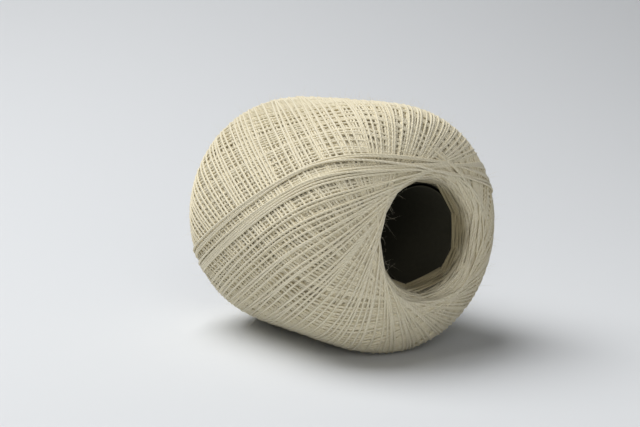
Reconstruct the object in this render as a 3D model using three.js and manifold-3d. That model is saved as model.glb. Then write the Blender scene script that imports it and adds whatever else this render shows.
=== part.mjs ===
// A machine-wound ball of fine lace yarn, lying on its barrel, with a dark card tube through it.
// Millimetres, +Z up. The winding axis runs along X, the open front end faces +X, and the
// origin lies under the middle of the ball, on the small flat spot that it rests on.

import * as THREE from 'three';
import { mergeVertices } from 'three/addons/utils/BufferGeometryUtils.js';
import Module from 'manifold-3d';

const wasm = await Module();
wasm.setup();

// The barrel that the turns build up
const BALL_RADIUS = 34;
const END_REACH = 40.5;
const BARREL_POWER = 6.5;
const SHOULDER_POWER = 1.7;
const FLAT_DEPTH = 1.0;

// The card tube, and the rolled lip of turns round each of its ends
const TUBE_RADIUS = 13.9;
const TUBE_WALL = 1.1;
const TUBE_HALF_LENGTH = 33;
const FITTING_GAP = 0.32;
const BORE_RADIUS = TUBE_RADIUS + FITTING_GAP;
const LIP_START_RADIUS = 19;
const LIP_ROLL_OUT = 2.6;
const LIP_ROLL_IN = 3.2;

// Each turn is a loop that touches the front lip, crosses the barrel and touches the back lip
const TANGENT_RADIUS = 17.6;
const LAST_TURN_ANGLE = THREE.MathUtils.degToRad(10);

// The main twists: bunches of neighbouring turns, with a groove between each two
const BUNCHES = 34;
const GROOVE_DEPTH = 0.6;
const GROOVE_SHARE = 0.22;
const BUNCH_UNEVENNESS = 0.3;
const GOLDEN_STEP = (Math.sqrt(5) - 1) / 2;

// The last turns lie on top as a raised band, rooted deeper than the grooves that it crosses.
// A few strays leave the lip a little later, and their band dips under at both its ends.
const BAND_WIDTH = 2.6;
const BAND_HEIGHT = 0.55;
const STRAY_WIDTH = 1.5;
const STRAY_HEIGHT = 0.4;
const BAND_ROOT = 1.1;
const END_SINK = 1.2;
const END_SHARE = 0.08;
const STRAY_ANGLE = THREE.MathUtils.degToRad(21);

// Mesh steps
const COLUMNS_PER_BUNCH = 3;
const COLUMNS = COLUMNS_PER_BUNCH * BUNCHES;
const BARREL_STEPS = 13;
const LIP_STEPS = 4;
const BAND_STEPS = 66;
const FINE_STEPS = 600;
const TUBE_SEGMENTS = 64;
const SEAM_OVERLAP = 0.05;
const SLOPE_STEP = 0.01;
const CUTTER_SIZE = 6 * BALL_RADIUS;

const AXIS_HEIGHT = BALL_RADIUS - FLAT_DEPTH;

// Barrel radius at a distance x from the middle: full for most of its length, then a round shoulder
function barrelRadius(x) {
  const fullness = 1 - Math.pow(Math.abs(x) / END_REACH, BARREL_POWER);
  return BALL_RADIUS * Math.pow(fullness, 1 / SHOULDER_POWER);
}

function barrelReach(radius) {
  const fullness = Math.pow(radius / BALL_RADIUS, SHOULDER_POWER);
  return END_REACH * Math.pow(1 - fullness, 1 / BARREL_POWER);
}

// A polyline resampled to equal steps of its own length
function evenly(points, steps) {
  const lengths = [0];
  for (let i = 1; i < points.length; i += 1) {
    lengths.push(lengths[i - 1] + points[i].distanceTo(points[i - 1]));
  }
  const total = lengths[lengths.length - 1];
  const result = [];
  let at = 1;
  for (let i = 0; i <= steps; i += 1) {
    const target = (total * i) / steps;
    while (at < points.length - 1 && lengths[at] < target) {
      at += 1;
    }
    const share = (target - lengths[at - 1]) / (lengths[at] - lengths[at - 1]);
    result.push(points[at - 1].clone().lerp(points[at], share));
  }
  return result;
}

// Half of the outline, (x, radius), from the middle of the barrel to the mouth of the bore
function halfOutline(barrelSteps, lipSteps) {
  const joinX = barrelReach(LIP_START_RADIUS);
  const barrel = [];
  for (let i = 0; i <= FINE_STEPS; i += 1) {
    const x = (joinX * i) / FINE_STEPS;
    barrel.push(new THREE.Vector2(x, barrelRadius(x)));
  }
  const start = barrel[FINE_STEPS];
  const rollOut = start.clone().sub(barrel[FINE_STEPS - 1]).setLength(LIP_ROLL_OUT).add(start);
  const end = new THREE.Vector2(TUBE_HALF_LENGTH, BORE_RADIUS);
  const rollIn = new THREE.Vector2(TUBE_HALF_LENGTH + LIP_ROLL_IN, BORE_RADIUS);
  const lip = new THREE.CubicBezierCurve(start, rollOut, rollIn, end).getSpacedPoints(lipSteps);
  return [...evenly(barrel, barrelSteps), ...lip.slice(1)];
}

// The path of a turn, by Clairaut's rule for a taut thread on a barrel: radius times the sine of
// its slant stays the same. For each outline point this gives the angle turned since the lip
// (0 where the turn touches the lip, a quarter turn at the middle of the barrel).
function slantAngles(outline) {
  const angles = outline.map(() => 0);
  for (let i = outline.length - 2; i >= 0; i -= 1) {
    const radius = (outline[i].y + outline[i + 1].y) / 2;
    const step = outline[i].distanceTo(outline[i + 1]);
    const outside = outline[i].y > TANGENT_RADIUS && radius > TANGENT_RADIUS;
    const slope = outside ? TANGENT_RADIUS / Math.sqrt(radius ** 2 - TANGENT_RADIUS ** 2) : 0;
    angles[i] = angles[i + 1] + (slope * step) / radius;
  }
  const quarterTurn = Math.PI / 2 / angles[0];
  return angles.map((angle) => angle * quarterTurn);
}

const fineOutline = halfOutline(FINE_STEPS, FINE_STEPS);
const fineAngles = slantAngles(fineOutline);

// The angle turned since the lip, at a point of any coarser outline
function slantAt(point) {
  let nearest = 0;
  for (let i = 1; i < fineOutline.length; i += 1) {
    if (fineOutline[i].distanceTo(point) < fineOutline[nearest].distanceTo(point)) {
      nearest = i;
    }
  }
  return fineAngles[nearest];
}

// A point of the ball: distance along the axis, radius, and angle from the top, clockwise from +X
function onBall(x, radius, angle) {
  return new THREE.Vector3(x, radius * Math.sin(angle), AXIS_HEIGHT + radius * Math.cos(angle));
}

// Outward direction of the barrel's surface at a point
function outwardAt(point) {
  const radial = new THREE.Vector3(0, point.y, point.z - AXIS_HEIGHT);
  const radius = radial.length();
  const x = Math.min(Math.abs(point.x), barrelReach(LIP_START_RADIUS));
  const slope = (barrelRadius(x + SLOPE_STEP) - barrelRadius(x)) / SLOPE_STEP;
  const lean = -slope * Math.sign(point.x);
  return radial.divideScalar(radius).add(new THREE.Vector3(lean, 0, 0)).normalize();
}

// A repeatable unevenness from 0 to 1 for each bunch, scattered by golden-ratio steps
function unevenness(bunch) {
  const scattered = bunch * GOLDEN_STEP;
  return scattered - Math.floor(scattered);
}

// The rings of the whole outline, from the front mouth over the barrel to the back mouth
function outlineRings() {
  const half = halfOutline(BARREL_STEPS, LIP_STEPS);
  const front = half.map((point) => ({ x: point.x, radius: point.y, turned: slantAt(point) }));
  const back = front.slice(1).map((ring) => ({ ...ring, x: -ring.x, turned: Math.PI - ring.turned }));
  return [...front.reverse(), ...back];
}

// The wound body with every bunch slanting one way: -1 for turns coming to the front lip,
// +1 for turns leaving it. A bunch has a groove and the two edges of its top. Grooves grow shallow
// towards the lips, where the turns crowd together.
function woundBody(direction) {
  const rings = outlineRings();
  const vertices = [];
  for (const ring of rings) {
    const crowding = Math.min(1, TANGENT_RADIUS / ring.radius);
    const spread = Math.sqrt(1 - crowding ** 2);
    for (let column = 0; column < COLUMNS; column += 1) {
      const bunch = Math.floor(column / COLUMNS_PER_BUNCH);
      const place = column % COLUMNS_PER_BUNCH;
      const across = [0, GROOVE_SHARE, 1 - GROOVE_SHARE][place];
      const depth = GROOVE_DEPTH * (place === 0 ? 1 : BUNCH_UNEVENNESS * unevenness(bunch));
      const angle = (2 * Math.PI * (bunch + across)) / BUNCHES + direction * ring.turned;
      const point = onBall(ring.x, ring.radius, angle);
      point.addScaledVector(outwardAt(point), -depth * spread);
      vertices.push(point.x, point.y, point.z);
    }
  }
  const faces = [];
  for (let ring = 0; ring < rings.length; ring += 1) {
    const isBore = ring === rings.length - 1;
    const next = isBore ? 0 : ring + 1;
    const shift = isBore ? COLUMNS / 2 : 0;
    for (let column = 0; column < COLUMNS; column += 1) {
      const beside = (column + 1) % COLUMNS;
      const a = ring * COLUMNS + column;
      const b = ring * COLUMNS + beside;
      const c = next * COLUMNS + ((beside + shift) % COLUMNS);
      const d = next * COLUMNS + ((column + shift) % COLUMNS);
      if (direction > 0) {
        faces.push(a, b, d, b, c, d);
      } else {
        faces.push(a, b, c, a, c, d);
      }
    }
  }
  return solidFrom(vertices, faces);
}

function solidFrom(vertices, faces) {
  const mesh = new wasm.Mesh({
    numProp: 3,
    vertProperties: new Float32Array(vertices),
    triVerts: new Uint32Array(faces),
  });
  return new wasm.Manifold(mesh);
}

function solidFromGeometry(geometry) {
  geometry.deleteAttribute('normal');
  geometry.deleteAttribute('uv');
  const merged = mergeVertices(geometry);
  return solidFrom(merged.attributes.position.array, merged.index.array);
}

// A large block on one side of a plane through the middle of the ball
function halfSpace(normal, offset) {
  const block = new THREE.BoxGeometry(CUTTER_SIZE, CUTTER_SIZE, CUTTER_SIZE);
  block.translate(0, 0, CUTTER_SIZE / 2 + offset);
  block.applyQuaternion(new THREE.Quaternion().setFromUnitVectors(new THREE.Vector3(0, 0, 1), normal));
  block.translate(0, 0, AXIS_HEIGHT);
  return solidFromGeometry(block);
}

// The last turn divides the ball in two. On the side of the front mouth the turns coming to the
// front lip lie on top, and on the other side those leaving it do.
function woundHalves() {
  const lipPoint = onBall(barrelReach(LIP_START_RADIUS), TANGENT_RADIUS, LAST_TURN_ANGLE);
  const sidePoint = onBall(0, BALL_RADIUS, LAST_TURN_ANGLE + Math.PI / 2);
  const middle = new THREE.Vector3(0, 0, AXIS_HEIGHT);
  const normal = lipPoint.sub(middle).cross(sidePoint.sub(middle)).normalize();
  if (normal.x < 0) {
    normal.negate();
  }
  const front = woundBody(-1).intersect(halfSpace(normal, -SEAM_OVERLAP));
  const back = woundBody(1).intersect(halfSpace(normal.clone().negate(), -SEAM_OVERLAP));
  return front.add(back);
}

// Half a turn, from the front lip to the back lip. It touches the front lip at the given angle,
// and its direction is +1 for a turn that leaves the lip there and -1 for one that comes to it.
function halfTurn(lipAngle, direction) {
  const stops = fineOutline.map((point, i) => ({ x: point.x, radius: point.y, turned: fineAngles[i] }));
  const side = stops.filter((stop) => stop.radius > TANGENT_RADIUS);
  const back = side.slice(1).map((stop) => ({ ...stop, x: -stop.x, turned: Math.PI - stop.turned }));
  const across = [...side.reverse(), ...back];
  return across.map((stop) => onBall(stop.x, stop.radius, lipAngle + direction * stop.turned));
}

// A flat band of strands swept along a line
function band(line, closed, width, height, sinkEnds) {
  const section = [
    [width / 2, -BAND_ROOT],
    [width / 2, 0],
    [width / 4, height],
    [-width / 4, height],
    [-width / 2, 0],
    [-width / 2, -BAND_ROOT],
  ];
  const sides = section.length;
  const stops = evenly(line, BAND_STEPS);
  const count = closed ? BAND_STEPS : BAND_STEPS + 1;
  const vertices = [];
  for (let i = 0; i < count; i += 1) {
    const before = stops[closed ? (i + count - 1) % count : Math.max(i - 1, 0)];
    const after = stops[closed ? (i + 1) % count : Math.min(i + 1, count - 1)];
    const along = after.clone().sub(before).normalize();
    const outward = outwardAt(stops[i]);
    const across = along.clone().cross(outward).normalize();
    const fromEnd = Math.min(i, count - 1 - i) / (count - 1);
    const sink = sinkEnds ? END_SINK * Math.max(0, 1 - fromEnd / END_SHARE) : 0;
    for (const [sideways, up] of section) {
      const point = stops[i].clone();
      point.addScaledVector(across, sideways);
      point.addScaledVector(outward, up - sink);
      vertices.push(point.x, point.y, point.z);
    }
  }
  const faces = [];
  const spans = closed ? count : count - 1;
  for (let i = 0; i < spans; i += 1) {
    const next = (i + 1) % count;
    for (let side = 0; side < sides; side += 1) {
      const beside = (side + 1) % sides;
      const a = i * sides + side;
      const b = i * sides + beside;
      const c = next * sides + beside;
      const d = next * sides + side;
      faces.push(a, c, b, a, d, c);
    }
  }
  if (!closed) {
    const last = (count - 1) * sides;
    for (let side = 1; side < sides - 1; side += 1) {
      faces.push(0, side, side + 1);
      faces.push(last, last + side + 1, last + side);
    }
  }
  return solidFrom(vertices, faces);
}

// The last turns: one band all the way round, and the strays that leave the lip later
function lastTurns() {
  const leaving = halfTurn(LAST_TURN_ANGLE, 1);
  const arriving = halfTurn(LAST_TURN_ANGLE, -1).reverse();
  const loop = [...leaving, ...arriving, leaving[0]];
  const main = band(loop, true, BAND_WIDTH, BAND_HEIGHT, false);
  const strays = band(halfTurn(STRAY_ANGLE, 1), false, STRAY_WIDTH, STRAY_HEIGHT, true);
  return main.add(strays);
}

function geometryFrom(solid) {
  const mesh = solid.getMesh();
  const geometry = new THREE.BufferGeometry();
  geometry.setAttribute('position', new THREE.BufferAttribute(new Float32Array(mesh.vertProperties), 3));
  geometry.setIndex(new THREE.BufferAttribute(new Uint32Array(mesh.triVerts), 1));
  geometry.computeVertexNormals();
  return geometry;
}

function woundYarn() {
  const floor = halfSpace(new THREE.Vector3(0, 0, 1), -AXIS_HEIGHT);
  const solid = woundHalves().add(lastTurns()).intersect(floor);
  const material = new THREE.MeshStandardMaterial({ color: 0xccc6ad, roughness: 0.85, metalness: 0 });
  const mesh = new THREE.Mesh(geometryFrom(solid), material);
  mesh.name = 'wound_yarn';
  return mesh;
}

function coreTube() {
  const inside = TUBE_RADIUS - TUBE_WALL;
  const section = [
    new THREE.Vector2(inside, -TUBE_HALF_LENGTH),
    new THREE.Vector2(TUBE_RADIUS, -TUBE_HALF_LENGTH),
    new THREE.Vector2(TUBE_RADIUS, TUBE_HALF_LENGTH),
    new THREE.Vector2(inside, TUBE_HALF_LENGTH),
    new THREE.Vector2(inside, -TUBE_HALF_LENGTH),
  ];
  const material = new THREE.MeshStandardMaterial({ color: 0x191812, roughness: 0.8, metalness: 0 });
  const mesh = new THREE.Mesh(new THREE.LatheGeometry(section, TUBE_SEGMENTS), material);
  mesh.name = 'core_tube';
  mesh.rotation.z = -Math.PI / 2;
  mesh.position.z = AXIS_HEIGHT;
  return mesh;
}

const group = new THREE.Group();
group.add(woundYarn(), coreTube());

export default group;
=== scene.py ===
# A machine-wound ball of fine cream lace yarn, lying on its barrel, with a dark card tube
# through it. Metres, +Z up: the winding axis runs along X, and the open front mouth faces +X.

import math

import bpy
import numpy as np
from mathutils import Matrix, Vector


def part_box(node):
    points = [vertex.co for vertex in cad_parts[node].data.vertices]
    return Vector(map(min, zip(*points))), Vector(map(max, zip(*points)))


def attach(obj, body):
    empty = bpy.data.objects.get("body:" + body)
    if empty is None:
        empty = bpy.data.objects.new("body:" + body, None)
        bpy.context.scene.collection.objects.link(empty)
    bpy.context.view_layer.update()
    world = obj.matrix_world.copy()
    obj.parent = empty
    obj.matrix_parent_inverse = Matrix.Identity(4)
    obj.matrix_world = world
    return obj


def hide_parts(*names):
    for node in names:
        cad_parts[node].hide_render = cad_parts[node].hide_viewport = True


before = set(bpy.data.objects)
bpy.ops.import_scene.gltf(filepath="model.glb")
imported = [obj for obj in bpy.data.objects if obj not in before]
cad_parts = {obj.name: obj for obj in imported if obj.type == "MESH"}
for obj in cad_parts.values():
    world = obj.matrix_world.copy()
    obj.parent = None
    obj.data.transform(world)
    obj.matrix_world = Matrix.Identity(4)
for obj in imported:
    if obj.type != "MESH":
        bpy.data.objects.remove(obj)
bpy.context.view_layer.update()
bpy.ops.object.select_all(action="DESELECT")

MM = 0.001
tube_low, tube_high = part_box("core_tube")
TUBE_HALF_LENGTH = tube_high.x
TUBE_RADIUS = (tube_high.z - tube_low.z) / 2
AXIS_HEIGHT = (tube_high.z + tube_low.z) / 2


# The camera: it stands low and near, to one side of the open mouth, and looks a little past
# the ball's middle, so that the ball lies right of the picture's centre and under it.
CAMERA_DISTANCE = 339.4 * MM
CAMERA_ELEVATION = math.radians(9.0)
CAMERA_TURN = math.radians(38.2)
AIM_LEFT = 5.46 * MM
AIM_UP = 1.67 * MM
LENS = 67.1
SENSOR_WIDTH = 36

ball_middle = Vector((0, 0, AXIS_HEIGHT))
towards_camera = Vector((
    math.cos(CAMERA_ELEVATION) * math.cos(CAMERA_TURN),
    -math.cos(CAMERA_ELEVATION) * math.sin(CAMERA_TURN),
    math.sin(CAMERA_ELEVATION),
))
camera_right = Vector((0, 0, 1)).cross(towards_camera).normalized()
camera_up = towards_camera.cross(camera_right)
camera_aim = ball_middle - AIM_LEFT * camera_right + AIM_UP * camera_up
bpy.ops.object.camera_add(location=ball_middle + CAMERA_DISTANCE * towards_camera)
camera = bpy.context.object
camera.rotation_euler = (camera_aim - camera.location).to_track_quat("-Z", "Y").to_euler()
camera.data.lens = LENS
camera.data.sensor_width = SENSOR_WIDTH
camera.data.clip_start = 0.01
bpy.context.scene.camera = camera


# The card tube: a strip of black card wound in a spiral and glued, with the yarn wound straight
# onto it. Only its inside shows, at both mouths, with the strip's seam as a fine line and the
# card's bare cut edge all round each end.
TUBE_WALL = 1.1 * MM
TUBE_SIDES = 96
TUBE_EDGE_ROUND = 0.25 * MM
TUBE_EDGE_STEPS = 3
STRIP_WIDTH = 21 * MM
STRIP_SEAM = 0.012
CARD_DARK = (0.034, 0.032, 0.022, 1)
CARD_LIGHT = (0.048, 0.045, 0.031, 1)
CARD_EDGE = (0.045, 0.042, 0.029, 1)
CUT_EDGE_WIDTH = 0.6 * MM
CARD_GRAIN_SCALE = 900
CARD_GRAIN_SHARE = 0.3
CARD_RELIEF = 0.15 * MM
CARD_RELIEF_STRENGTH = 0.8


def input_of(tree, socket, value):
    """Feeds a node socket from another socket, or sets it to a plain value."""
    if isinstance(value, bpy.types.NodeSocket):
        tree.links.new(value, socket)
    else:
        socket.default_value = value


def math_node(tree, operation, first, second=0.0):
    node = tree.nodes.new("ShaderNodeMath")
    node.operation = operation
    input_of(tree, node.inputs[0], first)
    input_of(tree, node.inputs[1], second)
    return node.outputs[0]


def noise_node(tree, vector, scale, detail=2.0):
    node = tree.nodes.new("ShaderNodeTexNoise")
    tree.links.new(vector, node.inputs["Vector"])
    node.inputs["Scale"].default_value = scale
    node.inputs["Detail"].default_value = detail
    return node.outputs["Fac"]


def colour_mix(tree, factor, first, second):
    node = tree.nodes.new("ShaderNodeMix")
    node.data_type = "RGBA"
    input_of(tree, node.inputs["Factor"], factor)
    input_of(tree, node.inputs[6], first)
    input_of(tree, node.inputs[7], second)
    return node.outputs[2]


def bump_node(tree, height, distance, strength):
    node = tree.nodes.new("ShaderNodeBump")
    tree.links.new(height, node.inputs["Height"])
    node.inputs["Distance"].default_value = distance
    node.inputs["Strength"].default_value = strength
    return node.outputs["Normal"]


def new_material(name):
    material = bpy.data.materials.new(name)
    material.use_nodes = True
    tree = material.node_tree
    return material, tree, tree.nodes["Principled BSDF"]


def dress(piece, material):
    """Gives a finished piece its material and its place in the frame."""
    piece.data.materials.clear()
    piece.data.materials.append(material)
    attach(piece, "root")


card, tree, shader = new_material("black wound card")
place = tree.nodes.new("ShaderNodeTexCoord").outputs["Object"]
centred = tree.nodes.new("ShaderNodeMapping")
centred.inputs["Location"].default_value = (0, 0, -AXIS_HEIGHT)
tree.links.new(place, centred.inputs["Vector"])
parts = tree.nodes.new("ShaderNodeSeparateXYZ")
tree.links.new(centred.outputs["Vector"], parts.inputs["Vector"])
turned = math_node(tree, "ARCTAN2", parts.outputs["Y"], parts.outputs["Z"])
turned = math_node(tree, "DIVIDE", turned, 2 * math.pi)
advance = math_node(tree, "DIVIDE", parts.outputs["X"], STRIP_WIDTH)
across_strip = math_node(tree, "FRACT", math_node(tree, "ADD", turned, advance))
seam = math_node(tree, "GREATER_THAN", across_strip, STRIP_SEAM)
grain = noise_node(tree, place, CARD_GRAIN_SCALE, 4)
from_middle = math_node(tree, "ABSOLUTE", parts.outputs["X"])
cut_edge = math_node(tree, "GREATER_THAN", from_middle, TUBE_HALF_LENGTH - CUT_EDGE_WIDTH)
face = colour_mix(tree, grain, CARD_DARK, CARD_LIGHT)
tree.links.new(colour_mix(tree, cut_edge, face, CARD_EDGE), shader.inputs["Base Color"])
shader.inputs["Roughness"].default_value = 0.95
shader.inputs["Specular IOR Level"].default_value = 0.1
relief = math_node(tree, "ADD", seam, math_node(tree, "MULTIPLY", grain, CARD_GRAIN_SHARE))
card_bump = bump_node(tree, relief, CARD_RELIEF, CARD_RELIEF_STRENGTH)
tree.links.new(card_bump, shader.inputs["Normal"])

bpy.ops.mesh.primitive_cylinder_add(
    vertices=TUBE_SIDES, radius=TUBE_RADIUS, depth=2 * TUBE_HALF_LENGTH, end_fill_type="NOTHING",
    location=(0, 0, AXIS_HEIGHT), rotation=(0, math.pi / 2, 0))
card_tube = bpy.context.object
card_tube.name = "card_tube"
bpy.ops.object.transform_apply(location=True, rotation=True, scale=True)
wall = card_tube.modifiers.new("wall", "SOLIDIFY")
wall.thickness = TUBE_WALL
wall.offset = -1
bpy.ops.object.modifier_apply(modifier="wall")
rounded = card_tube.modifiers.new("rounded edges", "BEVEL")
rounded.width = TUBE_EDGE_ROUND
rounded.segments = TUBE_EDGE_STEPS
rounded.limit_method = "ANGLE"
bpy.ops.object.modifier_apply(modifier="rounded edges")
bpy.ops.object.shade_smooth_by_angle(angle=math.radians(40))
dress(card_tube, card)
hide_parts("core_tube")


# The wound mass: all the yarn under the turns that show, as one closed body of revolution.
# It follows the outline of the ball from inside, comes out to the lips, and lines the bore.
BALL_RADIUS = 34 * MM
END_REACH = 40.5 * MM
BARREL_POWER = 6.5
SHOULDER_POWER = 1.7
LIP_START_RADIUS = 19 * MM
LIP_ROLL_OUT = 2.6 * MM
LIP_ROLL_IN = 3.2 * MM
BORE_GAP = 0.32 * MM
BORE_RADIUS = TUBE_RADIUS + BORE_GAP
OUTLINE_STEPS = 500
BODY_DEPTH = 1.2 * MM
BODY_BORE_RADIUS = BORE_RADIUS - 0.05 * MM
BODY_STEPS = 56
BODY_SIDES = 128
CREAM_LIGHT = (0.84, 0.785, 0.64, 1)
CREAM_DARK = (0.78, 0.71, 0.515, 1)
CREAM_DEEP = (0.54, 0.46, 0.25, 1)
CREAM_SHADE = (0.68, 0.60, 0.36, 1)
MOTTLE_SCALE = 900
MOTTLE_RELIEF = 0.4 * MM


def cubic(points, steps):
    """Points of a cubic curve with four control points."""
    share = np.linspace(0, 1, steps + 1)[:, None]
    weights = ((1 - share) ** 3, 3 * share * (1 - share) ** 2, 3 * share ** 2 * (1 - share), share ** 3)
    return sum(weight * np.array(point) for weight, point in zip(weights, points))


def evenly(line, steps):
    """A line of (x, radius) points, resampled to equal steps of its own length."""
    lengths = np.concatenate([[0], np.cumsum(np.linalg.norm(np.diff(line, axis=0), axis=1))])
    wanted = np.linspace(0, lengths[-1], steps + 1)
    return np.stack([np.interp(wanted, lengths, line[:, 0]), np.interp(wanted, lengths, line[:, 1])], 1)


def half_outline():
    """The ball's outline, as (x, radius), from the middle of the barrel to the mouth of the bore."""
    fullness = (LIP_START_RADIUS / BALL_RADIUS) ** SHOULDER_POWER
    join = END_REACH * (1 - fullness) ** (1 / BARREL_POWER)
    x = join * np.linspace(0, 1, OUTLINE_STEPS) ** 0.5
    radius = BALL_RADIUS * (1 - (x / END_REACH) ** BARREL_POWER) ** (1 / SHOULDER_POWER)
    barrel = np.stack([x, radius], 1)
    slope = barrel[-1] - barrel[-2]
    roll_out = barrel[-1] + LIP_ROLL_OUT * slope / np.linalg.norm(slope)
    roll_in = (TUBE_HALF_LENGTH + LIP_ROLL_IN, BORE_RADIUS)
    lip = cubic([barrel[-1], roll_out, roll_in, (TUBE_HALF_LENGTH, BORE_RADIUS)], OUTLINE_STEPS)
    return evenly(np.concatenate([barrel, lip[1:]]), 2 * OUTLINE_STEPS)


def outward_of(line):
    """Unit normals, pointing out of the ball, along a line of (x, radius) points."""
    along = np.gradient(line, axis=0)
    along /= np.linalg.norm(along, axis=1, keepdims=True)
    return np.stack([-along[:, 1], along[:, 0]], 1)


def on_ball(x, radius, angle):
    """Distance along the axis, radius, and angle from the top, clockwise from the front."""
    return np.stack([x, radius * np.sin(angle), AXIS_HEIGHT + radius * np.cos(angle)], -1)


outline = half_outline()
outline_out = outward_of(outline)

# One group makes the relief of a strand of two twisted plies, and its painted shade: darker in
# the ply grooves and on its flanks and underside. It also says how far in the mouth it lies, where
# the yarn is painted darker as shade deep in the mouth. Along is in millimetres, and Around is the
# share of the way round the strand.
PLY_TWIST_LENGTH = 2.3
PLY_GROOVE_POWER = 2.5
FIBRE_SCALE = 5200
FIBRE_SHARE = 0.5
FLANK_REACH = 3.2
FLANK_POWER = 3.0
TONE_SCALE = 260
LENGTH_TONE_SCALE = 0.02
LENGTH_TONE_SHARE = 0.7
PLACE_TONE_SHARE = 0.3
# Near the bore the yarn is painted darker, fully at the first radius and not at all at the second:
# painted shade deep in the mouth.
MOUTH_SHADE_FULL = 13.4 * MM
MOUTH_SHADE_NONE = 16.4 * MM
MOUTH_SHADE = (0.28, 0.235, 0.135, 1)
strand_look = bpy.data.node_groups.new("plied strand", "ShaderNodeTree")
for socket_name, way in (("Along", "INPUT"), ("Around", "INPUT"), ("Place", "INPUT"),
                         ("Relief", "OUTPUT"), ("Groove", "OUTPUT"), ("Flank", "OUTPUT"),
                         ("Tone", "OUTPUT"), ("Mouth", "OUTPUT")):
    kind = "NodeSocketVector" if socket_name == "Place" else "NodeSocketFloat"
    strand_look.interface.new_socket(name=socket_name, in_out=way, socket_type=kind)
given = strand_look.nodes.new("NodeGroupInput").outputs
made = strand_look.nodes.new("NodeGroupOutput").inputs
twist = math_node(strand_look, "DIVIDE", given["Along"], PLY_TWIST_LENGTH)
phase = math_node(strand_look, "ADD", given["Around"], twist)
phase = math_node(strand_look, "FRACT", math_node(strand_look, "MULTIPLY", phase, 2.0))
from_ridge = math_node(strand_look, "ABSOLUTE", math_node(strand_look, "SUBTRACT", phase, 0.5))
from_ridge = math_node(strand_look, "MULTIPLY", from_ridge, 2.0)
groove = math_node(strand_look, "POWER", from_ridge, PLY_GROOVE_POWER)
fibres = noise_node(strand_look, given["Place"], FIBRE_SCALE, 3)
place_tone = noise_node(strand_look, given["Place"], TONE_SCALE, 3)
fibres = math_node(strand_look, "MULTIPLY", fibres, FIBRE_SHARE)
relief = math_node(strand_look, "SUBTRACT", fibres, groove)
strand_look.links.new(relief, made["Relief"])
strand_look.links.new(groove, made["Groove"])
# The strand's flanks and underside are painted darker: painted shade where the strands lie on each
# other.
from_top = math_node(strand_look, "FRACT", math_node(strand_look, "ADD", given["Around"], 0.25))
from_top = math_node(strand_look, "ABSOLUTE", math_node(strand_look, "SUBTRACT", from_top, 0.5))
flank = math_node(strand_look, "MULTIPLY", from_top, FLANK_REACH)
flank = math_node(strand_look, "POWER", math_node(strand_look, "MINIMUM", flank, 1.0), FLANK_POWER)
strand_look.links.new(flank, made["Flank"])
length_tone = strand_look.nodes.new("ShaderNodeTexNoise")
length_tone.noise_dimensions = "1D"
strand_look.links.new(given["Along"], length_tone.inputs["W"])
length_tone.inputs["Scale"].default_value = LENGTH_TONE_SCALE
length_tone.inputs["Detail"].default_value = 2
tone = math_node(
    strand_look, "ADD",
    math_node(strand_look, "MULTIPLY", length_tone.outputs["Fac"], LENGTH_TONE_SHARE),
    math_node(strand_look, "MULTIPLY", place_tone, PLACE_TONE_SHARE))
strand_look.links.new(tone, made["Tone"])
# The distance from the axis sets how much painted shade the mouth gets.
place = strand_look.nodes.new("ShaderNodeSeparateXYZ")
strand_look.links.new(given["Place"], place.inputs["Vector"])
above_axis = math_node(strand_look, "SUBTRACT", place.outputs["Z"], AXIS_HEIGHT)
from_axis = math_node(strand_look, "ADD", math_node(strand_look, "POWER", place.outputs["Y"], 2.0),
                      math_node(strand_look, "POWER", above_axis, 2.0))
from_axis = math_node(strand_look, "SQRT", from_axis)
mouth_range = strand_look.nodes.new("ShaderNodeMapRange")
mouth_range.interpolation_type = "SMOOTHSTEP"
strand_look.links.new(from_axis, mouth_range.inputs["Value"])
mouth_range.inputs["From Min"].default_value = MOUTH_SHADE_FULL
mouth_range.inputs["From Max"].default_value = MOUTH_SHADE_NONE
mouth_range.inputs["To Min"].default_value = 1.0
mouth_range.inputs["To Max"].default_value = 0.0
strand_look.links.new(mouth_range.outputs["Result"], made["Mouth"])

under_yarn, tree, shader = new_material("yarn in the shade")
place = tree.nodes.new("ShaderNodeTexCoord").outputs["Object"]
mottle = noise_node(tree, place, MOTTLE_SCALE, 3)
tree.links.new(colour_mix(tree, mottle, CREAM_SHADE, CREAM_DARK), shader.inputs["Base Color"])
shader.inputs["Roughness"].default_value = 0.9
shader.inputs["Specular IOR Level"].default_value = 0.2
tree.links.new(bump_node(tree, mottle, MOTTLE_RELIEF, 1.0), shader.inputs["Normal"])

body_line = evenly(outline, BODY_STEPS)
body_out = outward_of(body_line)
body_line = body_line - BODY_DEPTH * body_out
body_line = body_line[body_line[:, 1] > BODY_BORE_RADIUS]
body_line[-1] = (TUBE_HALF_LENGTH - BODY_DEPTH, BODY_BORE_RADIUS)
mirrored = body_line[:0:-1] * (-1, 1)
profile = np.concatenate([mirrored, body_line])
body_mesh = bpy.data.meshes.new("wound_mass")
body_mesh.from_pydata([(x, 0, AXIS_HEIGHT + radius) for x, radius in profile],
                      [(i, (i + 1) % len(profile)) for i in range(len(profile))], [])
wound_mass = bpy.data.objects.new("wound_mass", body_mesh)
bpy.context.collection.objects.link(wound_mass)
bpy.context.view_layer.objects.active = wound_mass
wound_mass.select_set(True)
bpy.ops.object.mode_set(mode="EDIT")
bpy.ops.mesh.select_all(action="SELECT")
bpy.ops.mesh.spin(steps=BODY_SIDES, angle=2 * math.pi, center=(0, 0, AXIS_HEIGHT), axis=(1, 0, 0))
bpy.ops.mesh.select_all(action="SELECT")
bpy.ops.mesh.remove_doubles(threshold=0.01 * MM)
bpy.ops.mesh.normals_make_consistent(inside=False)
bpy.ops.object.mode_set(mode="OBJECT")
bpy.ops.object.shade_smooth()
dress(wound_mass, under_yarn)
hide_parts("wound_yarn")


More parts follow.
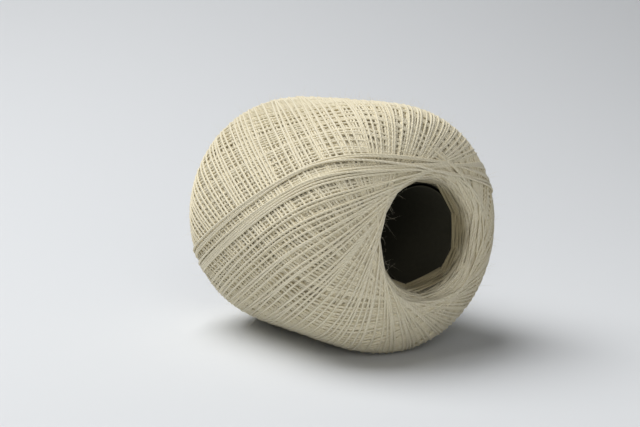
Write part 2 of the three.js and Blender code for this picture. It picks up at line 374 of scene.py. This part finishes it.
# The lip turns: where the deeper turns touch the lips, they lie side by side on the rolled
# edge and dive away into the ball at both ends. Short arcs of them line each mouth all round.
STRAND_RADIUS = 0.33 * MM
FLOOR_GAP = 0.02 * MM
FLAT_SHARE = 0.85
LIP_ARCS = 240
LIP_ARC_STEPS = 20
LIP_ARC_REACH = math.radians(40)
LIP_ARC_SPREAD = 2.9 * MM
LIP_ARC_SLANT = 1.0 * MM
MOUTH_RISE = 0.6 * MM
LIP_SIDES = 6
LIP_SUNK = (1.0, 3.4)
LIP_DIVE = (4.0 * MM, 9.0 * MM)
LIP_INNER_REACH = 3 * MM
# Steps of this share of a turn, the golden one, scatter any number of arcs evenly.
EVEN_SCATTER = 0.618034
PLY_SHADE = 0.35
FLANK_SHADE = 0.8
PLY_RELIEF = 0.07 * MM
# This many millimetres between the strands' places in their map keep their tones apart.
MAP_SHIFT = 977


def side_map(mesh, name, shape, start, end, low, high):
    """Maps the sides of round strands: from start to end along them, from low to high around."""
    corners = np.zeros((len(mesh.loops), 2))
    u = np.stack([start, end, end, start], -1)[:, :, None, :]
    v = np.stack([low, low, high, high], -1)
    sides = np.stack([np.broadcast_to(u, shape), np.broadcast_to(v, shape)], -1).reshape(-1, 2)
    corners[:len(sides)] = sides
    mesh.uv_layers.new(name=name).uv.foreach_set("vector", corners.astype(np.float32).ravel())


def strand_mesh(name, lines, outward, radii, sides):
    """One mesh of round strands. Lines and outward are (strand, point, xyz), radii (strand, point).

    It has two maps: "strand" holds each strand's length in millimetres and the share of the way
    round it, and "OFBake" lays all the strands end to end in rows that fill a square.
    """
    strands, points = radii.shape
    lines = lines.copy()
    lines[..., 2] = np.maximum(lines[..., 2], FLOOR_GAP + FLAT_SHARE * radii)
    along = np.gradient(lines, axis=1)
    along /= np.linalg.norm(along, axis=2, keepdims=True)
    across = np.cross(along, outward)
    across /= np.linalg.norm(across, axis=2, keepdims=True)
    raised = np.cross(across, along)
    turn = (2 * np.pi * np.arange(sides) / sides)[:, None]
    ring = np.cos(turn) * across[:, :, None, :] + np.sin(turn) * raised[:, :, None, :]
    vertices = lines[:, :, None, :] + radii[:, :, None, None] * ring
    vertices[..., 2] = np.maximum(vertices[..., 2], FLOOR_GAP)
    index = np.arange(strands * points * sides).reshape(strands, points, sides)
    beside = np.roll(index, -1, axis=2)
    quads = np.stack([index[:, :-1], index[:, 1:], beside[:, 1:], beside[:, :-1]], -1)
    starts = index[:, 0]
    ends = index[:, -1, ::-1]
    mesh = bpy.data.meshes.new(name)
    faces = quads.reshape(-1, 4).tolist() + starts.tolist() + ends.tolist()
    mesh.from_pydata(vertices.reshape(-1, 3), [], faces)
    side = np.arange(sides) / sides
    step = np.linalg.norm(np.diff(lines, axis=1), axis=2)
    length = np.concatenate([np.zeros((strands, 1)), np.cumsum(step, 1)], 1)
    along_map = length / MM + MAP_SHIFT * np.arange(strands)[:, None]
    side_map(mesh, "strand", quads.shape, along_map[:, :-1], along_map[:, 1:], side, side + 1 / sides)
    laid = length + np.concatenate([[0], np.cumsum(length[:-1, -1])])[:, None]
    rows = math.ceil(math.sqrt(length[:, -1].sum() / (2 * math.pi * radii.mean())))
    row_length = length[:, -1].sum() / rows
    row = np.minimum(laid[:, :-1] // row_length, rows - 1)
    longest = row_length + step.max()
    start = (laid[:, :-1] - row * row_length) / longest
    end = (laid[:, 1:] - row * row_length) / longest
    low = (row[:, :, None] + side) / rows
    side_map(mesh, "OFBake", quads.shape, start, end, low, low + 1 / (sides * rows))
    mesh.shade_smooth()
    piece = bpy.data.objects.new(name, mesh)
    bpy.context.collection.objects.link(piece)
    return piece


def outline_at(radius):
    """The lip's x and outward normal where the outline has a given radius, on its inner side."""
    lip = outline[:, 1] < LIP_START_RADIUS + LIP_INNER_REACH
    order = np.argsort(outline[lip, 1])
    known = outline[lip, 1][order]
    x = np.interp(radius, known, outline[lip, 0][order])
    out = np.stack([np.interp(radius, known, outline_out[lip, i][order]) for i in (0, 1)], -1)
    return x, out / np.linalg.norm(out, axis=-1, keepdims=True)


strand_yarn, tree, shader = new_material("cream lace yarn")
strand_map = tree.nodes.new("ShaderNodeUVMap")
strand_map.uv_map = "strand"
parts = tree.nodes.new("ShaderNodeSeparateXYZ")
tree.links.new(strand_map.outputs["UV"], parts.inputs["Vector"])
look = tree.nodes.new("ShaderNodeGroup")
look.node_tree = strand_look
tree.links.new(parts.outputs["X"], look.inputs["Along"])
tree.links.new(parts.outputs["Y"], look.inputs["Around"])
place = tree.nodes.new("ShaderNodeTexCoord").outputs["Object"]
tree.links.new(place, look.inputs["Place"])
tone = colour_mix(tree, look.outputs["Tone"], CREAM_DARK, CREAM_LIGHT)
# Painted shade: the colour goes deeper in the ply grooves and on the flanks.
in_groove = math_node(tree, "MULTIPLY", look.outputs["Groove"], PLY_SHADE)
on_flank = math_node(tree, "MULTIPLY", look.outputs["Flank"], FLANK_SHADE)
shaded = math_node(tree, "MAXIMUM", in_groove, on_flank)
before_mouth_shade = colour_mix(tree, shaded, tone, CREAM_DEEP)
# Near the bore the colour is mixed towards the mouth's painted shade.
with_mouth_shade = colour_mix(tree, look.outputs["Mouth"], before_mouth_shade, MOUTH_SHADE)
tree.links.new(with_mouth_shade, shader.inputs["Base Color"])
shader.inputs["Roughness"].default_value = 0.85
shader.inputs["Specular IOR Level"].default_value = 0.25
shader.inputs["Sheen Weight"].default_value = 0.12
shader.inputs["Sheen Roughness"].default_value = 0.5
tree.links.new(bump_node(tree, look.outputs["Relief"], PLY_RELIEF, 1.0), shader.inputs["Normal"])


def lip_turns(name, side, seed):
    rng = np.random.default_rng(seed)
    spread = rng.random(LIP_ARCS)
    middle = 2 * np.pi * (np.arange(LIP_ARCS) * EVEN_SCATTER % 1)
    tangent = BORE_RADIUS + LIP_ARC_SPREAD * spread + MOUTH_RISE * np.cos(middle) * (1 - spread)
    swing = np.linspace(-1, 1, LIP_ARC_STEPS + 1) * LIP_ARC_REACH
    x, out = outline_at(tangent)
    sunk = STRAND_RADIUS * rng.uniform(*LIP_SUNK, LIP_ARCS)
    radius = (tangent - sunk * out[:, 1])[:, None] / np.cos(swing)
    slant = rng.normal(0, LIP_ARC_SLANT, LIP_ARCS)
    dive = rng.uniform(*LIP_DIVE, LIP_ARCS)
    place = (x - sunk * out[:, 0])[:, None] + slant[:, None] * swing - dive[:, None] * swing ** 2
    angle = middle[:, None] + swing
    lines = on_ball(side * place, radius, angle)
    outward = on_ball(np.broadcast_to(side * out[:, :1], angle.shape), out[:, 1:], angle)
    outward[..., 2] -= AXIS_HEIGHT
    piece = strand_mesh(name, lines, outward, np.full(angle.shape, STRAND_RADIUS), LIP_SIDES)
    dress(piece, strand_yarn)
    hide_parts("wound_yarn")


lip_turns("front_lip_turns", 1, 11)
lip_turns("back_lip_turns", -1, 12)


# The mouth bundles: the first turns on the tube. They cross each mouth as flat bundles, nearly
# straight, and make it a polygon of ten sides, a little off centre in front.
FRONT_BUNDLES = (
    # degrees, tangent radius (mm), distance past the tube's end (mm)
    (10, 14.2, 0.5),
    (54, 12.9, 0.5),
    (89, 12.4, 0.5),
    (126, 12.9, 0.5),
    (167, 11.6, 0.5),
    (203, 13.5, 0.6),
    (235, 13.9, 0.6),
    (268, 14.1, 0.6),
    (300, 14.1, 0.8),
    (340, 14.3, 0.8),
)
BACK_BUNDLES = tuple((36 * number + 14, 13.3, 0.6) for number in range(10))
BUNDLE_STRANDS = 14
BUNDLE_STEPS = 18
BUNDLE_REACH = math.radians(48)
BUNDLE_DEPTH = 2.0 * MM
BUNDLE_CLIMB = 1.3
BUNDLE_CLIMB_POWER = 1.3
BUNDLE_DIVE = 1.3 * MM
BUNDLE_OUTER_DIVE = 3.0 * MM
BUNDLE_DIVE_RANGE = (0.8, 1.3)
BUNDLE_SLANT = 0.8 * MM
BUNDLE_FAN = 0.16
BUNDLE_UNEVENNESS = 0.4 * MM


def mouth_bundles(name, side, bundles, seed):
    rng = np.random.default_rng(seed)
    member = np.tile(np.arange(BUNDLE_STRANDS) / (BUNDLE_STRANDS - 1), len(bundles))
    degrees, tangent, place = np.repeat(np.array(bundles), BUNDLE_STRANDS, axis=0).T
    middle = np.radians(degrees) + rng.normal(0, BUNDLE_FAN, len(member)) * member
    tangent = MM * tangent + BUNDLE_DEPTH * member
    place = TUBE_HALF_LENGTH + MM * place + BUNDLE_CLIMB * BUNDLE_DEPTH * member ** BUNDLE_CLIMB_POWER
    place += rng.normal(0, BUNDLE_UNEVENNESS, len(member)) * (member > 0)
    swing = np.linspace(-1, 1, BUNDLE_STEPS + 1) * BUNDLE_REACH
    radius = tangent[:, None] / np.cos(swing)
    slant = rng.normal(0, BUNDLE_SLANT, len(member))
    dive = (BUNDLE_DIVE + BUNDLE_OUTER_DIVE * member) * rng.uniform(*BUNDLE_DIVE_RANGE, len(member))
    x = place[:, None] + slant[:, None] * swing - dive[:, None] * swing ** 2
    angle = middle[:, None] + swing
    lines = on_ball(side * x, radius, angle)
    outward = np.zeros(lines.shape)
    outward[..., 0] = side
    piece = strand_mesh(name, lines, outward, np.full(angle.shape, STRAND_RADIUS), LIP_SIDES)
    dress(piece, strand_yarn)
    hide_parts("wound_yarn")


mouth_bundles("front_mouth_bundles", 1, FRONT_BUNDLES, 21)
mouth_bundles("back_mouth_bundles", -1, BACK_BUNDLES, 22)


# The under turns: the two rounds of winding before the last. They show only as short crossing
# stretches, in the gaps between the turns that lie over them. The outer turns and the last turns
# are laid by the same functions.
UNDER_TURNS = 150
DEEP_TURNS = 180
LAST_EVEN_ANGLE = -6.0
LAYER_STEP = 0.38 * MM
ROUND_STEP = 0.42 * MM
TURNS_PROUD = 0.1 * MM
LIP_THINNING = 0.9
STRAND_UNEVENNESS = 0.03
TANGENT_TABLE = np.linspace(14.5, 21.5, 15) * MM
LIP_BLEND = 6 * MM
UNEVENNESS = 0.12
WIDE_SHARE = 0.38
LIP_BUNCH = 4.3
LIP_RIDE = 0.48 * MM
LIP_RIDE_LENGTH = 18 * MM
TANGENT_RADIUS = 17.5 * MM
TANGENT_DRIFT = 0.6 * MM
TANGENT_SPREAD = 0.3 * MM
TANGENT_UNEVENNESS = 0.5
RIDE_UNEVENNESS = 0.7
RIGHT_SPREAD = 2.4
DRIFT_WAVES = (5, 9, 14)
DRIFT_SIZE = 0.6
WOBBLE_WAVES = (2, 3, 5)
PATH_WOBBLE = 0.03 * MM
HEIGHT_WOBBLE = 0.03 * MM
UNDER_STEPS = 18
UNDER_SIDES = 5
LEAST_DROP = 1e-9
STEEP_SHARE = 0.01


def quarter_turns(steps):
    """A quarter of a turn, from the lip to the middle of the barrel, for each tangent radius.

    A taut strand keeps its radius times the sine of its slant. Gives (tangent, point, value), the
    values being x, radius, degrees turned since the lip, outward x and radius, and length.
    """
    table = []
    for tangent in TANGENT_TABLE:
        inside = int(np.argmax(outline[:, 1] < tangent))
        before, after = outline[inside - 1], outline[inside]
        share = (before[1] - tangent) / (before[1] - after[1])
        end = before + share * (after - before)
        line = np.concatenate([outline[:inside], [end]])
        radius = np.maximum(line[:, 1], tangent)
        step = np.linalg.norm(np.diff(line, axis=0), axis=1)
        drop = np.maximum(-np.diff(radius), LEAST_DROP)
        middle = (radius[1:] + radius[:-1]) / 2
        along = np.sqrt(middle ** 2 - tangent ** 2)
        near_lip = drop > STEEP_SHARE * step
        exact_angle = np.abs(np.diff(np.arccos(tangent / radius))) * step / drop
        exact_length = np.abs(np.diff(np.sqrt(radius ** 2 - tangent ** 2))) * step / drop
        angle = np.where(near_lip, exact_angle, tangent * step / (middle * along))
        length = np.where(near_lip, exact_length, middle * step / along)
        turned = np.concatenate([[0], np.cumsum(angle[::-1])])
        length = np.concatenate([[0], np.cumsum(length[::-1])])
        turned *= 90 / turned[-1]
        wanted = np.linspace(0, length[-1], steps + 1)
        out = outward_of(line)
        values = [line[::-1, 0], line[::-1, 1], turned, out[::-1, 0], out[::-1, 1], length]
        table.append(np.stack([np.interp(wanted, length, value) for value in values], 1))
    return np.array(table)


def smooth(share):
    share = np.clip(share, 0, 1)
    return share * share * (3 - 2 * share)


def quarters_between(table, here, there):
    """Quarter turns that touch one lip at a tangent radius, and turn to those of the other lip."""
    point = np.arange(table.shape[1])
    towards = smooth(point / point[-1]) / 2
    tangents = here[:, None] + (there - here)[:, None] * towards
    at = np.interp(tangents, TANGENT_TABLE, np.arange(len(TANGENT_TABLE)))
    low = np.clip(at.astype(int), 0, len(TANGENT_TABLE) - 2)
    share = (at - low)[..., None]
    return (1 - share) * table[low, point] + share * table[low + 1, point]


def lip_touches(rng, angles):
    """Where turns touch a lip: (turn, value), the values being degrees, tangent radius and ride.

    Turns gather there in small bunches, each a little further out and higher than the last, and
    the bunches drift in and out. They are spread widest on the right of the mouth.
    """
    climb = 2 * (np.arange(len(angles)) / LIP_BUNCH % 1) - 1
    drift = np.zeros(len(angles))
    for waves in DRIFT_WAVES:
        size = rng.normal(0, DRIFT_SIZE)
        drift += size * np.sin(waves * np.radians(angles) + rng.uniform(0, 2 * np.pi))
    tangent = TANGENT_RADIUS + TANGENT_DRIFT * drift
    spread = TANGENT_SPREAD * (1 + RIGHT_SPREAD * np.maximum(np.sin(np.radians(angles)), 0))
    tangent += spread * (climb + TANGENT_UNEVENNESS * rng.normal(0, 1, len(angles)))
    ride = LIP_RIDE * (climb + RIDE_UNEVENNESS * rng.normal(0, 1, len(angles)))
    return np.stack([angles, tangent, ride], 1)


def half_turns(table, rng, front, back, age, over):
    """Half turns between a touch on the front lip and one on the back lip: points and normals.

    Age is the degrees of winding since the turn was laid. Over is 1 where it lies over the turns
    that it crosses near the front lip, and -1 where it lies under them. Near the back it is the
    other way about.
    """
    near_half = quarters_between(table, front[:, 1], back[:, 1])
    far_half = quarters_between(table, back[:, 1], front[:, 1])[:, -2::-1]
    far_half[..., 0] *= -1
    far_half[..., 2] = 180 - far_half[..., 2]
    far_half[..., 3] *= -1
    whole = np.concatenate([near_half, far_half], 1)
    x, radius, turned, out_x, out_radius, length = np.moveaxis(whole, 2, 0)
    angle = np.radians(front[:, :1] + (back[:, :1] - front[:, :1]) * turned / 180)
    free = smooth(length / LIP_BLEND)
    travel = np.linspace(0, 1, x.shape[1])
    sideways = np.zeros(x.shape)
    swell = np.zeros(x.shape)
    for waves in WOBBLE_WAVES:
        phases = rng.uniform(0, 2 * np.pi, (2, len(x), 1))
        sizes = rng.normal(0, 1, (2, len(x), 1)) / math.sqrt(waves)
        sideways += sizes[0] * np.sin(2 * np.pi * waves * travel + phases[0])
        swell += sizes[1] * np.sin(2 * np.pi * waves * travel + phases[1])
    over = over * (1 - turned / 90) / 2
    ride = np.where(turned < 90, front[:, 2:], back[:, 2:]) * smooth(1 - length / LIP_RIDE_LENGTH)
    lift = TURNS_PROUD + LAYER_STEP * over * free - ROUND_STEP * age[:, None] / 360 + ride
    lift += HEIGHT_WOBBLE * swell * free
    angle += PATH_WOBBLE * sideways * free / radius
    lines = on_ball(x + out_x * lift, radius + out_radius * lift, angle)
    outward = on_ball(out_x, out_radius, angle)
    outward[..., 2] -= AXIS_HEIGHT
    return lines, outward, free


def in_order(coming, going):
    """One line along the whole strand: each turn comes to the front lip and then goes back."""
    turns = np.concatenate([coming[:, :0:-1], going[:, :-1]], 1)
    return turns.reshape(-1, *coming.shape[2:])


def turn_angles(rng, turns, grouping):
    """Where the turns of one round touch the front lip: small groups with wider gaps between."""
    wide = rng.random(turns) < WIDE_SHARE
    gaps = rng.normal(1, UNEVENNESS, turns) + grouping * (wide - WIDE_SHARE)
    return LAST_EVEN_ANGLE - np.cumsum(gaps * 360 / gaps.sum())[::-1]


def lay_strand(name, lines, outward, free, sides, pieces, rng):
    """Makes one long strand as a few pieces, a little thinner where it is pressed on the lips."""
    radii = STRAND_RADIUS * (LIP_THINNING + (1 - LIP_THINNING) * free)
    radii *= rng.normal(1, STRAND_UNEVENNESS, free.shape)
    ends = np.linspace(0, len(lines) - 1, pieces + 1).astype(int)
    for number, (first, last) in enumerate(zip(ends[:-1], ends[1:] + 1), 1):
        piece = strand_mesh(
            f"{name}_{number}", lines[None, first:last], outward[None, first:last],
            radii[None, first:last], sides)
        dress(piece, strand_yarn)
        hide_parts("wound_yarn")


def round_of_turns(name, depth, turns, grouping, steps, sides, pieces, seed):
    """Lays one whole round of turns, and depth says how many later rounds lie over it. The outer
    round comes in over its own leaving turns, the next one under them, and so on.
    """
    rng = np.random.default_rng(seed)
    table = quarter_turns(steps)
    front = turn_angles(rng, turns, grouping)
    half_step = 180 / turns
    between = (front[:-1] + front[1:]) / 2
    back = np.concatenate([[front[0] - half_step], between, [front[-1] + half_step]]) - 180
    front = lip_touches(rng, front)
    back = lip_touches(rng, back)
    ages = 360 * depth + LAST_EVEN_ANGLE - front[:, 0]
    over = (-1) ** depth
    coming = half_turns(table, rng, front, back[:-1], ages, over)
    going = half_turns(table, rng, front, back[1:] + (360, 0, 0), ages, -over)
    lines, outward, free = (in_order(a, b) for a, b in zip(coming, going))
    lay_strand(name, lines, outward, free, sides, pieces, rng)
    return lines, outward


round_of_turns("deep_turns", 2, DEEP_TURNS, 0, UNDER_STEPS, UNDER_SIDES, 1, 30)
round_of_turns("under_turns", 1, UNDER_TURNS, 0, UNDER_STEPS, UNDER_SIDES, 1, 31)


# The outer turns: the last whole round of winding, which makes the surface of the ball. Every
# strand is laid separately, from lip to lip and back, over the turns that came before it.
OUTER_TURNS = 118
GROUPING = 0.85
OUTER_STEPS = 32
OUTER_SIDES = 8

outer_lines, outer_outward = round_of_turns(
    "outer_turns", 0, OUTER_TURNS, GROUPING, OUTER_STEPS, OUTER_SIDES, 2, 41)


# The last turns: laid over all the others in two close bundles, which join in one band at the
# front lip. They ride high on it and slide along it before they leave, two of them lower down
# and proud of the rest. The end of the strand is tucked under at the back lip.
LAST_TURNS = (
    # comes at (degrees), leaves at (degrees), tangent radius (mm), ride (mm), raise (mm)
    (-1.7, -0.5, 18.0, 0.1, 0.1),
    (-0.5, 1.5, 18.4, 0.2, 0.1),
    (0.7, 3.5, 18.8, 0.3, 0.15),
    (1.9, 6.0, 19.1, 0.2, 0.15),
    (3.1, 14.4, 17.6, 0.5, 0.35),
    (8.8, 13.2, 19.6, 0.1, 0.2),
    (10.0, 15.2, 19.8, 0.1, 0.2),
    (11.2, 16.0, 17.4, 0.6, 0.45),
)
BACK_RIDE = 0.3 * MM
SLIDE_STEPS = 9
TUCK_DEPTH = 1.6 * MM
TUCK_LENGTH = 12 * MM


def last_turns(name, seed):
    rng = np.random.default_rng(seed)
    table = quarter_turns(OUTER_STEPS)
    comes, leaves, tangent, ride, raised = np.array(LAST_TURNS).T
    turns = len(comes)
    back = np.stack([comes - 180, np.full(turns, TANGENT_RADIUS), np.full(turns, BACK_RIDE)], 1)
    next_back = np.concatenate([back[1:], back[-1:] + (1, 0, 0)]) + (360, 0, 0)
    ages = -360 * raised * MM / ROUND_STEP
    arriving = np.stack([comes, tangent * MM, ride * MM], 1)
    parting = np.stack([leaves, tangent * MM, ride * MM], 1)
    coming = half_turns(table, rng, arriving, back, ages, 1)
    going = half_turns(table, rng, parting, next_back, ages, -1)
    slid = np.radians(np.linspace(comes, leaves, SLIDE_STEPS, axis=1))[:, 1:-1]
    on_lip = []
    for part in coming[:2]:
        touch = part[:, 0]
        height = AXIS_HEIGHT if part is coming[0] else 0
        radius = np.hypot(touch[:, 1], touch[:, 2] - height)
        slide = on_ball(np.broadcast_to(touch[:, :1], slid.shape), radius[:, None], slid)
        slide[..., 2] += height - AXIS_HEIGHT
        on_lip.append(slide)
    on_lip.append(np.zeros(slid.shape))
    whole = []
    for arrive, slide, leave in zip(coming, on_lip, going):
        joined = np.concatenate([arrive[:, :0:-1], slide, leave[:, :-1]], 1)
        whole.append(joined.reshape(-1, *arrive.shape[2:]))
    lines, outward, free = whole
    step = np.linalg.norm(np.diff(lines, axis=0), axis=1)
    from_end = np.append(np.cumsum(step[::-1])[::-1], 0)
    lines -= (TUCK_DEPTH * smooth(1 - from_end / TUCK_LENGTH))[:, None] * outward
    lay_strand(name, lines, outward, free, OUTER_SIDES, 1, rng)


last_turns("last_turns", 51)


# The fuzz: fine ends of fibre that stand out of the spun strands. Most are short and lie low on
# the turns, and a few longer ones hang over the left edge of the hole.
HAIRS = 4200
HAIR_LENGTH = (0.5 * MM, 2.3 * MM)
HAIR_RADIUS = 0.024 * MM
HAIR_STEPS = 5
MOUTH_HAIRS = 34
MOUTH_HAIR_LENGTH = (0.8 * MM, 3.2 * MM)
MOUTH_HAIR_RADIUS = 0.018 * MM
MOUTH_HAIR_ANGLES = (222, 308)
MOUTH_HAIR_STEPS = 7
HAIR_SIDES = 3
HAIR_CURL = 0.9
HAIR_CURL_MOST = 1.2
HAIR_TIP = 0.25
HAIR_RISE = (0.3, 1.2)
HAIR_LEAN = 0.7
MOUTH_HAIR_SCATTER = 0.6
PATCH_SCALE = 400

fibre, tree, shader = new_material("loose fibre")
place = tree.nodes.new("ShaderNodeTexCoord").outputs["Object"]
patches = noise_node(tree, place, PATCH_SCALE, 2)
tree.links.new(colour_mix(tree, patches, CREAM_DARK, CREAM_LIGHT), shader.inputs["Base Color"])
shader.inputs["Roughness"].default_value = 0.7
shader.inputs["Specular IOR Level"].default_value = 0.3


def hairs(name, roots, directions, lengths, radius, steps, rng):
    directions = directions / np.linalg.norm(directions, axis=1, keepdims=True)
    curl = rng.normal(0, HAIR_CURL, directions.shape)
    curl = np.clip(curl, -HAIR_CURL_MOST, HAIR_CURL_MOST)
    share = np.linspace(0, 1, steps + 1)[:, None]
    path = share * directions[:, None] + share ** 2 * curl[:, None]
    lines = roots[:, None] + lengths[:, None, None] * path
    beside = np.cross(directions, curl)
    outward = np.broadcast_to(np.cross(beside, directions)[:, None], lines.shape)
    radii = np.broadcast_to(radius * (1 - (1 - HAIR_TIP) * share[:, 0]), lines.shape[:2])
    piece = strand_mesh(name, lines, outward, radii, HAIR_SIDES)
    dress(piece, fibre)
    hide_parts("wound_yarn")


def turn_fuzz(name, seed):
    rng = np.random.default_rng(seed)
    at = rng.integers(0, len(outer_lines) - 1, HAIRS)
    along = outer_lines[at + 1] - outer_lines[at]
    roots = outer_lines[at] + rng.random((HAIRS, 1)) * along
    along /= np.linalg.norm(along, axis=1, keepdims=True)
    out = outer_outward[at]
    lean = rng.normal(0, HAIR_LEAN, (2, HAIRS, 1))
    rise = rng.uniform(*HAIR_RISE, (HAIRS, 1))
    directions = rise * out + lean[0] * along + lean[1] * np.cross(out, along)
    lengths = rng.uniform(*HAIR_LENGTH, HAIRS)
    hairs(name, roots, directions, lengths, HAIR_RADIUS, HAIR_STEPS, rng)


def mouth_fuzz(name, seed):
    rng = np.random.default_rng(seed)
    angle = np.radians(rng.uniform(*MOUTH_HAIR_ANGLES, MOUTH_HAIRS))
    radius = BORE_RADIUS + LIP_ARC_SPREAD * rng.random(MOUTH_HAIRS)
    x, _ = outline_at(radius)
    roots = on_ball(x, radius, angle)
    inward = np.stack([np.zeros(MOUTH_HAIRS), -np.sin(angle), -np.cos(angle)], 1)
    directions = inward + rng.normal(0, MOUTH_HAIR_SCATTER, (MOUTH_HAIRS, 3))
    lengths = rng.uniform(*MOUTH_HAIR_LENGTH, MOUTH_HAIRS)
    hairs(name, roots, directions, lengths, MOUTH_HAIR_RADIUS, MOUTH_HAIR_STEPS, rng)


turn_fuzz("turn_fuzz", 61)
mouth_fuzz("mouth_fuzz", 62)


# The floor and its backdrop: one sheet of matt white paper that sweeps up behind the ball,
# out of the object. It is turned to face the camera.
SWEEP_WIDTH = 6.0
SWEEP_FRONT = 1.5
SWEEP_BACK = 0.15
SWEEP_HEIGHT = 2.6
SWEEP_ROUND = 1.4
SWEEP_STEPS = 40
PAPER_WHITE = (0.69, 0.71, 0.735, 1)

paper, tree, shader = new_material("matt white paper")
shader.inputs["Base Color"].default_value = PAPER_WHITE
shader.inputs["Roughness"].default_value = 0.9

sweep = [(SWEEP_FRONT, 0)]
for i in range(SWEEP_STEPS + 1):
    lean = math.pi / 2 * i / SWEEP_STEPS
    sweep.append((-SWEEP_BACK - SWEEP_ROUND * math.sin(lean), SWEEP_ROUND * (1 - math.cos(lean))))
sweep.append((-SWEEP_BACK - SWEEP_ROUND, SWEEP_HEIGHT))
sweep_mesh = bpy.data.meshes.new("paper_sweep")
half_width = SWEEP_WIDTH / 2
sweep_points = [(x, y, z) for x, z in sweep for y in (-half_width, half_width)]
sweep_faces = [(2 * i, 2 * i + 1, 2 * i + 3, 2 * i + 2) for i in range(len(sweep) - 1)]
sweep_mesh.from_pydata(sweep_points, [], sweep_faces)
sweep_mesh.shade_smooth()
sweep_mesh.materials.append(paper)
paper_sweep = bpy.data.objects.new("paper_sweep", sweep_mesh)
paper_sweep.rotation_euler = (0, 0, -CAMERA_TURN)
bpy.context.collection.objects.link(paper_sweep)


# The light: one broad soft lamp overhead and to the left, and a weak one low in front. A lamp's
# place is measured from the middle of the floor: to the right, towards the camera, and up.
LAMPS = (
    # name, right (m), forward (m), height (m), size (m), power (W)
    ("overhead lamp", -0.43, -0.08, 1.0, 0.85, 14.0),
    ("front lamp", 0.12, 0.93, 0.45, 0.7, 2.8),
)
LAMP_COLOUR = (1.0, 0.995, 0.985)
ROOM_COLOUR = (0.93, 0.96, 1.0, 1)
ROOM_STRENGTH = 0.04

for name, right, forward, height, size, power in LAMPS:
    lamp_place = right * camera_right + forward * towards_camera
    lamp_place.z = height
    bpy.ops.object.light_add(type="AREA", location=lamp_place)
    lamp = bpy.context.object
    lamp.name = name
    lamp.rotation_euler = (ball_middle - lamp_place).to_track_quat("-Z", "Y").to_euler()
    lamp.data.shape = "SQUARE"
    lamp.data.size = size
    lamp.data.energy = power
    lamp.data.color = LAMP_COLOUR
world = bpy.data.worlds.new("pale room")
world.use_nodes = True
world.node_tree.nodes["Background"].inputs["Color"].default_value = ROOM_COLOUR
world.node_tree.nodes["Background"].inputs["Strength"].default_value = ROOM_STRENGTH
bpy.context.scene.world = world
bpy.context.scene.view_settings.view_transform = "Standard"
